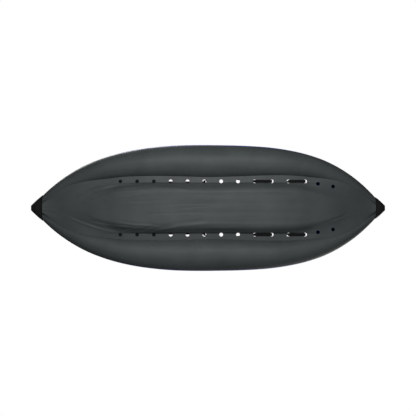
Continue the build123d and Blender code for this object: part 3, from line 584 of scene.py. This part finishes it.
# the last row meets the first, and each end is a closed rim
edit(
    mattress,
    lambda: bpy.ops.mesh.remove_doubles(threshold=0.0002),
    lambda: bpy.ops.mesh.select_non_manifold(extend=False, use_boundary=True),
    lambda: bpy.ops.mesh.fill_holes(sides=0),
)
outwards(mattress)
smooth(mattress, 50)
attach(mattress, "hull")
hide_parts("floor_mattress", "floor_webs")
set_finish(mattress, "grey_fabric")

# %% [markdown]
# The blue decks keep spray out of both ends. Each is a panel of the same cloth stretched from tube
# to tube, crowned in the middle, with a hem along its open edge.


# %% Spray decks
DECK_ANGLE, DECK_CROWN = 215, 0.014


def deck_place(aft, fore, open_end):
    def place(u, v):
        x = aft + (fore - aft) * u
        edge_y, edge_z = tube_point(x, DECK_ANGLE, 0.0007)
        side = 1 - 2 * v
        crown = DECK_CROWN * (1 - side**2)
        hem = 0.0012 * ridge(x - open_end, 0.007)
        tension = 0.0016 * np.cos(pi * side * 9) * np.abs(side) ** 3 * ridge(x - open_end, 0.12)
        z = edge_z + crown + hem + tension + 0.001 * ripple(x, side, 0 * x, 7, 21) * (1 - side**2)
        return lengths(x, side * edge_y, z), lengths(0 * x, 0 * x, 0 * x - 1)

    return place


def deck(end, node):
    low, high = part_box(node)
    aft, fore = low.x, high.x
    open_end = aft if end == "bow" else fore
    piece = fabric(f"{end}_spray_deck", 120, 60, deck_place(aft, fore, open_end), 0.0014)
    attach(piece, "hull")
    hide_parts(node)
    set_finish(piece, "blue_fabric")
    # cut flat, before it was glued on
    across = 2 * tube_point(np.linspace(aft, fore, 40), DECK_ANGLE, 0.0007)[0]


for end in ("bow", "stern"):
    deck(end, f"{end}_deck")

# %% [markdown]
# The foot brace is a welded bag, blown up hard. Its barrel is one panel with a lap seam along the
# back, and each end is a disc, so the fabric gathers where barrel and disc meet.

# %% Foot brace
low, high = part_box("foot_brace")
brace_centre = (low + high) / 2
BRACE_RADIUS, BRACE_HALF = (high.z - low.z) / 2, (high.y - low.y) / 2


def brace_place(u, v):
    side = 2 * u - 1
    disc = np.clip((np.abs(side) - 0.88) / 0.12, 0, 1)
    along = np.minimum(np.abs(side) / 0.88, 1) * BRACE_HALF
    turn = 2 * pi * v
    shoulder = np.clip((along - BRACE_HALF + 0.046) / 0.046, 0, 1)
    radius = BRACE_RADIUS - 0.0003 - 0.022 * shoulder**4.5
    radius -= 0.0011 * shoulder**1.5 * (1 + np.cos(22 * turn + 2 * np.sin(3 * turn)))
    radius -= 0.0012 * (1 + np.cos(11 * turn + 1)) / 2 * ridge(shoulder - 0.35, 0.4)
    radius -= 0.0014 * ridge(along - BRACE_HALF + 0.052, 0.0025)
    radius -= 0.0016 * ridge(v - 0.5, 0.012)
    radius *= 1 - disc
    y = np.sign(side) * (along - 0.004 * disc**2 - 0.0002)
    return (
        lengths(brace_centre.x + radius * np.cos(turn), y, brace_centre.z + radius * np.sin(turn)),
        lengths(0 * u, 0 * u, 0 * u),
    )


brace = fabric("foot_brace_bag", 150, 120, brace_place, 0)
edit(brace, lambda: bpy.ops.mesh.remove_doubles(threshold=0.0001))
outwards(brace)
smooth(brace, 45)
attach(brace, "foot_brace")
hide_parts("foot_brace")
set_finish(brace, "grey_fabric")

# %% [markdown]
# The seat is two quilted pads. A pad starts as a cube cut fine, its points pulled onto a rounded
# cushion form, and then sewn lines press into both faces and piping stands out round the edge.


# %% Seat pads
def cushion(name, half, plan, profile, quilting):
    """A stuffed pad centred on the origin. half is its half size; quilting(x, y) is 1 on a sewn line."""
    deselect()
    bpy.ops.mesh.primitive_cube_add(size=2)
    piece = bpy.context.object
    piece.name = name
    edit(piece, lambda: bpy.ops.mesh.subdivide(number_cuts=63))
    x, y, z = points_of(piece).T
    rho = (np.abs(x) ** plan + np.abs(y) ** plan) ** (1 / plan)
    reach = (rho**profile + np.abs(z) ** profile) ** (1 / profile)
    x, y, z, rho = x / reach, y / reach, z / reach, rho / reach
    sewn = quilting(x * half[0], y * half[1]) * ridge(rho, 1.1)
    crown = 1 - 0.10 * rho**2
    piping = ridge(z, 0.10) * ridge(rho - 1, 0.05)
    puckered = 1 - 0.006 * ridge(rho - 1, 0.10) * (1 + np.cos(90 * np.arctan2(y, x)))
    grow = (0.985 + 0.014 * piping) * puckered
    co = lengths(x * half[0] * grow, y * half[1] * grow, z * half[2] * crown * (1 - 0.34 * sewn))
    move_points(piece, co)
    outwards(piece)
    smooth(piece, 50)
    return piece


def stand(piece, origin, x_dir, y_dir):
    """Puts a piece made at the origin in its place, and makes the move real."""
    x_dir, y_dir = Vector(x_dir).normalized(), Vector(y_dir).normalized()
    frame_axes = np.array([x_dir, y_dir, x_dir.cross(y_dir)])
    move_points(piece, points_of(piece) @ frame_axes + np.array(origin))
    outwards(piece)


SEAT_HEIGHT, SEAT_FRONT = 0.050, -0.060
RAKE = radians(12)
low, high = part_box("seat_base")
seat_low = low.z
seat_aft = SEAT_FRONT - 0.390
hinge = Vector((seat_aft - 0.005, 0, high.z - 0.0016))
seat_half = ((SEAT_FRONT - seat_aft) / 2, (high.y - low.y) / 2, SEAT_HEIGHT / 2)
seat = cushion(
    "seat_pad",
    seat_half,
    9,
    2.6,
    lambda x, y: np.maximum(ridge(np.abs(y) - 0.065, 0.006), ridge(np.abs(x) - 0.098, 0.006)),
)
stand(seat, ((SEAT_FRONT + seat_aft) / 2, 0, seat_low + SEAT_HEIGHT / 2 + 0.0004), (1, 0, 0), (0, 1, 0))
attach(seat, "hull")
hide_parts("seat_base")
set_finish(seat, "seat_foam")

flap = fabric(
    "seat_hinge_flap",
    6,
    60,
    lambda u, v: (
        lengths(hinge.x + 0.001 + 0 * u, 0.130 * (2 * v - 1), hinge.z - 0.044 + 0.0456 * u),
        lengths(0 * u - 1, 0 * u, 0 * u),
    ),
    0.002,
)
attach(flap, "hull")
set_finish(flap, "webbing")

low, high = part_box("seat_back")
BACK_WIDTH, BACK_HEIGHT, BACK_THICKNESS, BACK_FOOT = high.y - low.y, 0.310, 0.046, 0.0025
back = cushion(
    "seat_back_pad",
    (BACK_WIDTH / 2, BACK_HEIGHT / 2, BACK_THICKNESS / 2),
    4.5,
    2.6,
    lambda x, y: np.maximum(ridge(np.abs(x) - 0.066, 0.006), ridge(y - 0.062, 0.006)),
)
up = Vector((-sin(RAKE), 0, cos(RAKE)))
stand(back, hinge + up * (BACK_FOOT + BACK_HEIGHT / 2), (0, 1, 0), up)
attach(back, "seat_back")
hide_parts("seat_back")
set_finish(back, "seat_foam")

# %% [markdown]
# Four webbing stays hold the seat back up. Each is sewn at the back and runs straight to the hull.


# %% Stays
def long_axis(node):
    """The two ends of a straight strap, from the frame's own mesh."""
    co = np.array([nodes[node].matrix_world @ v.co for v in nodes[node].data.vertices])
    middle = co.mean(axis=0)
    spread = np.linalg.svd(co - middle, full_matrices=False)[2]
    along, across = Vector(spread[0]), Vector(spread[1])
    reach = (co - middle) @ spread[0]
    low_end, high_end = middle + spread[0] * reach.min(), middle + spread[0] * reach.max()
    width = np.ptp((co - middle) @ spread[1])
    thick = np.ptp((co - middle) @ spread[2])
    return Vector(low_end), Vector(high_end), across, width, thick


bpy.context.view_layer.update()
for side in ("port", "starboard"):
    for kind in ("front", "rear"):
        node = f"{side}_{kind}_stay"
        a, b, across, width, thick = long_axis(node)
        near, far = (a, b) if (a - hinge).length > (b - hinge).length else (b, a)
        if kind == "rear":
            near, far = (a, b) if a.z < b.z else (b, a)
        facing = across.cross(far - near).normalized()

        def strap(u, v, near=near, far=far, across=across, width=width, thick=thick, facing=facing):
            line = np.array(near) + np.outer(u, np.array(far - near))
            bulge = 1 + 0.12 * np.cos((2 * v - 1) * pi / 2)
            outer = line + np.outer((2 * v - 1) * width / 2, np.array(across)) + np.outer(
                bulge * thick / 2.2, np.array(facing)
            )
            return outer, np.tile(np.array(-facing), (len(u), 1))

        piece = fabric(f"{node}_webbing", 60, 10, strap, thick)
        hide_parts(node)
        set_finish(piece, "webbing")
        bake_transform(piece)
        print(piece.name, "width", round(width, 4), "length", round((far - near).length, 3))

# %% [markdown]
# Under each valve plunger a coil spring is pressed shorter as the plunger goes down. Its shape is the
# frame's own, copied onto the hull; how far it would press is worked out from the joint.

# %% Valve springs
for where in ("port", "starboard", "floor"):
    node = nodes[f"{where}_valve_spring"]
    joint = next(j for j in frame["joints"] if j["name"] == f"{where}_valve_plunger_press")
    pick(node)
    bpy.ops.object.duplicate()
    spring = bpy.context.object
    spring.name = f"{where}_valve_coil"
    for key in [key for key in spring.keys() if key.startswith("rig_")]:
        del spring[key]
    co = points_of(spring)
    along = co @ np.array(joint["axis"])
    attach(spring, "hull")
    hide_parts(node.name)
    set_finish(spring, "steel")
    pressed = 1 - joint["range_m"][1] / np.ptp(along)
    co[along.argmax()]
    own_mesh(spring)
print("springs press to", round(pressed, 2), "of their length")

# %% [markdown]
# The finishes are all procedural. A small class wraps a node's socket, so that shader maths reads as
# arithmetic. Coated boat fabric is a matt plastic skin over a weave: mottled a little, lightly dusted,
# with a fine grain.


# %% Shader helpers
class Wire:
    """One socket, or a plain number, that takes part in arithmetic."""

    def __init__(self, tree, value):
        self.tree, self.value = tree, value

    def math(self, operation, *others):
        node = self.tree.nodes.new("ShaderNodeMath")
        node.operation = operation
        for socket, other in zip(node.inputs, (self, *others)):
            connect(self.tree, socket, other)
        return Wire(self.tree, node.outputs[0])

    def __add__(self, other):
        return self.math("ADD", other)

    def __sub__(self, other):
        return self.math("SUBTRACT", other)

    def __rsub__(self, other):
        return Wire(self.tree, other).math("SUBTRACT", self)

    def __mul__(self, other):
        return self.math("MULTIPLY", other)

    def __truediv__(self, other):
        return self.math("DIVIDE", other)

    def __rtruediv__(self, other):
        return Wire(self.tree, other).math("DIVIDE", self)

    __radd__, __rmul__ = __add__, __mul__

    def sine(self):
        return self.math("SINE")

    def clamped(self):
        return self.math("MAXIMUM", 0.0).math("MINIMUM", 1.0)


def connect(tree, socket, value):
    value = value.value if isinstance(value, Wire) else value
    if isinstance(value, bpy.types.NodeSocket):
        tree.links.new(value, socket)
    else:
        socket.default_value = value


def shade(red, green, blue):
    """A linear colour from the usual 0 to 255 values."""
    parts = [((c / 255 + 0.055) / 1.055) ** 2.4 if c > 10 else c / 3295 for c in (red, green, blue)]
    return (*parts, 1.0)


class Finish:
    """A material under construction."""

    def __init__(self, name, **settings):
        self.material = bpy.data.materials.new(name)
        self.material.use_nodes = True
        self.tree = self.material.node_tree
        self.shader = self.tree.nodes["Principled BSDF"]
        self.put(**settings)

    def put(self, **settings):
        for key, value in settings.items():
            connect(self.tree, self.shader.inputs[key.replace("_", " ").title().replace("Ior", "IOR")], value)
        return self.material

    def node(self, kind, output=0, settings=(), **inputs):
        made = self.tree.nodes.new(kind)
        for key, value in dict(settings).items():
            setattr(made, key, value)
        for key, value in inputs.items():
            connect(self.tree, made.inputs[key.replace("_", " ")], value)
        return Wire(self.tree, made.outputs[output])

    def place(self):
        return self.node("ShaderNodeTexCoord", output="Object")

    def axes(self):
        split = self.tree.nodes.new("ShaderNodeSeparateXYZ")
        connect(self.tree, split.inputs[0], self.place())
        return [Wire(self.tree, output) for output in split.outputs]

    def cloudy(self, scale, detail=3.0, roughness=0.5):
        return self.node(
            "ShaderNodeTexNoise", Vector=self.place(), Scale=scale, Detail=detail, Roughness=roughness
        )

    def mix(self, factor, first, second):
        made = self.tree.nodes.new("ShaderNodeMix")
        made.data_type = "RGBA"
        for index, value in ((0, factor), (6, first), (7, second)):
            connect(self.tree, made.inputs[index], value)
        return Wire(self.tree, made.outputs[2])

    def bump(self, height, strength, distance):
        self.put(normal=self.node("ShaderNodeBump", Height=height, Strength=strength, Distance=distance))


# %% [markdown]
# Coated fabric: two close shades mixed by broad noise, a light dusting in finer noise, and a grain
# that comes from the weave under the coating.


# %% Finishes
def coated_fabric(name, dark, light, roughness, grain=0.10, shine=0.25):
    finish = Finish(name, specular_ior_level=shine)
    broad = (finish.cloudy(5.0, 4.0) - 0.5) * 2.2 + 0.5
    fine = finish.cloudy(38.0, 5.0, 0.65)
    finish.put(
        base_color=finish.mix((broad * 0.7 + fine * 0.3).clamped(), dark, light),
        roughness=(fine - 0.5) * 0.18 + roughness,
    )
    x, y, z = finish.axes()
    weave = (x * 2600).sine() * ((y + z) * 2600).sine()
    finish.bump(weave * 0.35 + finish.cloudy(420.0, 2.0) + fine * 1.5, grain, 0.0006)
    return finish.material


def webbing_finish(name, dark, light):
    finish = Finish(name, specular_ior_level=0.25, sheen_weight=0.03)
    x, y, z = finish.axes()
    ribs = ((x + y * 0.6 + z) * 1900).sine() * ((x - y * 1.4 + z * 0.4) * 1700).sine()
    finish.put(base_color=finish.mix((ribs * 0.5 + 0.5).clamped(), dark, light), roughness=0.82)
    finish.bump(ribs + finish.cloudy(300.0), 0.5, 0.0006)
    return finish.material


def moulded(name, dark, light, roughness, scale=260.0, strength=0.12, metallic=0.0):
    finish = Finish(name, metallic=metallic, specular_ior_level=0.4)
    patchy = finish.cloudy(14.0, 4.0)
    finish.put(
        base_color=finish.mix(patchy.clamped(), dark, light), roughness=(patchy - 0.5) * 0.2 + roughness
    )
    finish.bump(finish.cloudy(scale, 3.0), strength, 0.0005)
    return finish.material


finishes = {
    "grey_fabric": coated_fabric("charcoal coated fabric", shade(60, 65, 66), shade(72, 77, 78), 0.58),
    "blue_fabric": coated_fabric(
        "blue coated fabric", shade(4, 40, 140), shade(8, 54, 166), 0.50, shine=0.12
    ),
    "web_fabric": coated_fabric("web fabric", shade(40, 43, 45), shade(50, 53, 55), 0.7),
    "black_fabric": coated_fabric("black coated fabric", shade(14, 15, 16), shade(24, 25, 27), 0.6),
    "webbing": webbing_finish("black webbing", shade(2, 2, 2), shade(9, 9, 10)),
    "seat_foam": coated_fabric("seat cover", shade(24, 26, 29), shade(38, 41, 45), 0.78, 0.3),
    "black_rubber": moulded("moulded rubber", shade(2, 2, 2), shade(5, 5, 5), 0.6),
    "black_plastic": moulded("black plastic", shade(12, 12, 13), shade(20, 20, 22), 0.42, 500.0, 0.08),
    "steel": moulded("stainless steel", shade(176, 178, 180), shade(200, 202, 204), 0.28, 700.0, 0.05, 1.0),
}

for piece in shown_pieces():
    name = piece.get("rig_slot")
    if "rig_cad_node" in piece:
        for place in piece.material_slots:
            named = [kind for kind in finishes if place.material and kind in place.material.name]
            kind = "webbing" if piece.name.endswith("foot_flap") else (named or [None])[0]
            if kind is None:
                print("no finish for", piece.name, place.material and place.material.name)
            else:
                place.material = finishes[kind]
    elif name:
        piece.data.materials.clear()
        piece.data.materials.append(finishes[name])
print("finishes:", len(finishes))

# %% [markdown]
# A plain pale floor. It only shows from above, so that the boat's underside can be looked at too.


# %% Floor
deselect()
bpy.ops.mesh.primitive_plane_add(size=14, location=(0, 0, 0))
ground = bpy.context.object
ground.name = "floor"
paper = Finish("pale floor", base_color=(0.80, 0.80, 0.80, 1.0), roughness=0.9, specular_ior_level=0.1)
facing = paper.node("ShaderNodeNewGeometry", output="Backfacing")
clear = paper.node("ShaderNodeBsdfTransparent")
both = paper.node("ShaderNodeMixShader")
mixer = both.value.node
connect(paper.tree, mixer.inputs[0], facing)
connect(paper.tree, mixer.inputs[1], paper.shader.outputs[0])
connect(paper.tree, mixer.inputs[2], clear)
connect(paper.tree, paper.tree.nodes["Material Output"].inputs[0], both)
ground.data.materials.append(paper.material)
ground.visible_shadow = False
ground.visible_diffuse = False
ground.visible_glossy = False

# %% [markdown]
# Soft light from a bright room: a white world that is dimmer as light than it looks, a large box
# below the boat on its port side for the underside, and a pair above.

# %% Light
bpy.context.scene.view_settings.view_transform = "Standard"
world = bpy.data.worlds.new("studio")
bpy.context.scene.world = world
world.use_nodes = True
sky = world.node_tree
background = sky.nodes["Background"]
background.inputs["Color"].default_value = (1, 1, 1, 1)
seen = Wire(sky, sky.nodes.new("ShaderNodeLightPath").outputs["Is Camera Ray"])
ROOM, PAPER_WHITE = 0.13, 1.0
connect(sky, background.inputs["Strength"], seen * (PAPER_WHITE - ROOM) + ROOM)


def softbox(name, location, size, power, target=(0, 0, 0.15)):
    deselect()
    bpy.ops.object.light_add(type="AREA", location=location)
    light = bpy.context.object
    light.name = name
    light.data.shape = "SQUARE"
    light.data.size = size
    light.data.energy = power
    light.visible_camera = False
    aim = Vector(target) - Vector(location)
    light.rotation_euler = aim.to_track_quat("-Z", "Y").to_euler()
    return light


softbox("under_key", (0.10, 1.30, -3.1), 1.1, 84)
softbox("under_fill", (-0.5, -1.7, -4.6), 1.1, 30)
softbox("over_key", (1.6, 2.2, 3.6), 2.2, 120)
softbox("over_fill", (-2.2, -2.6, 3.0), 3.0, 60)

# %% [markdown]
# The camera looks straight up at the underside from far away through a long lens, with the bow to
# the left.

# %% Camera
DISTANCE, VIEW_WIDTH = 12.0, 3.394
deselect()
bpy.ops.object.camera_add(location=(0, 0, -DISTANCE), rotation=(0, pi, 0))
camera = bpy.context.object
camera.data.sensor_width = 36
camera.data.lens = 36 * (DISTANCE + 0.2) / VIEW_WIDTH
bpy.context.scene.camera = camera
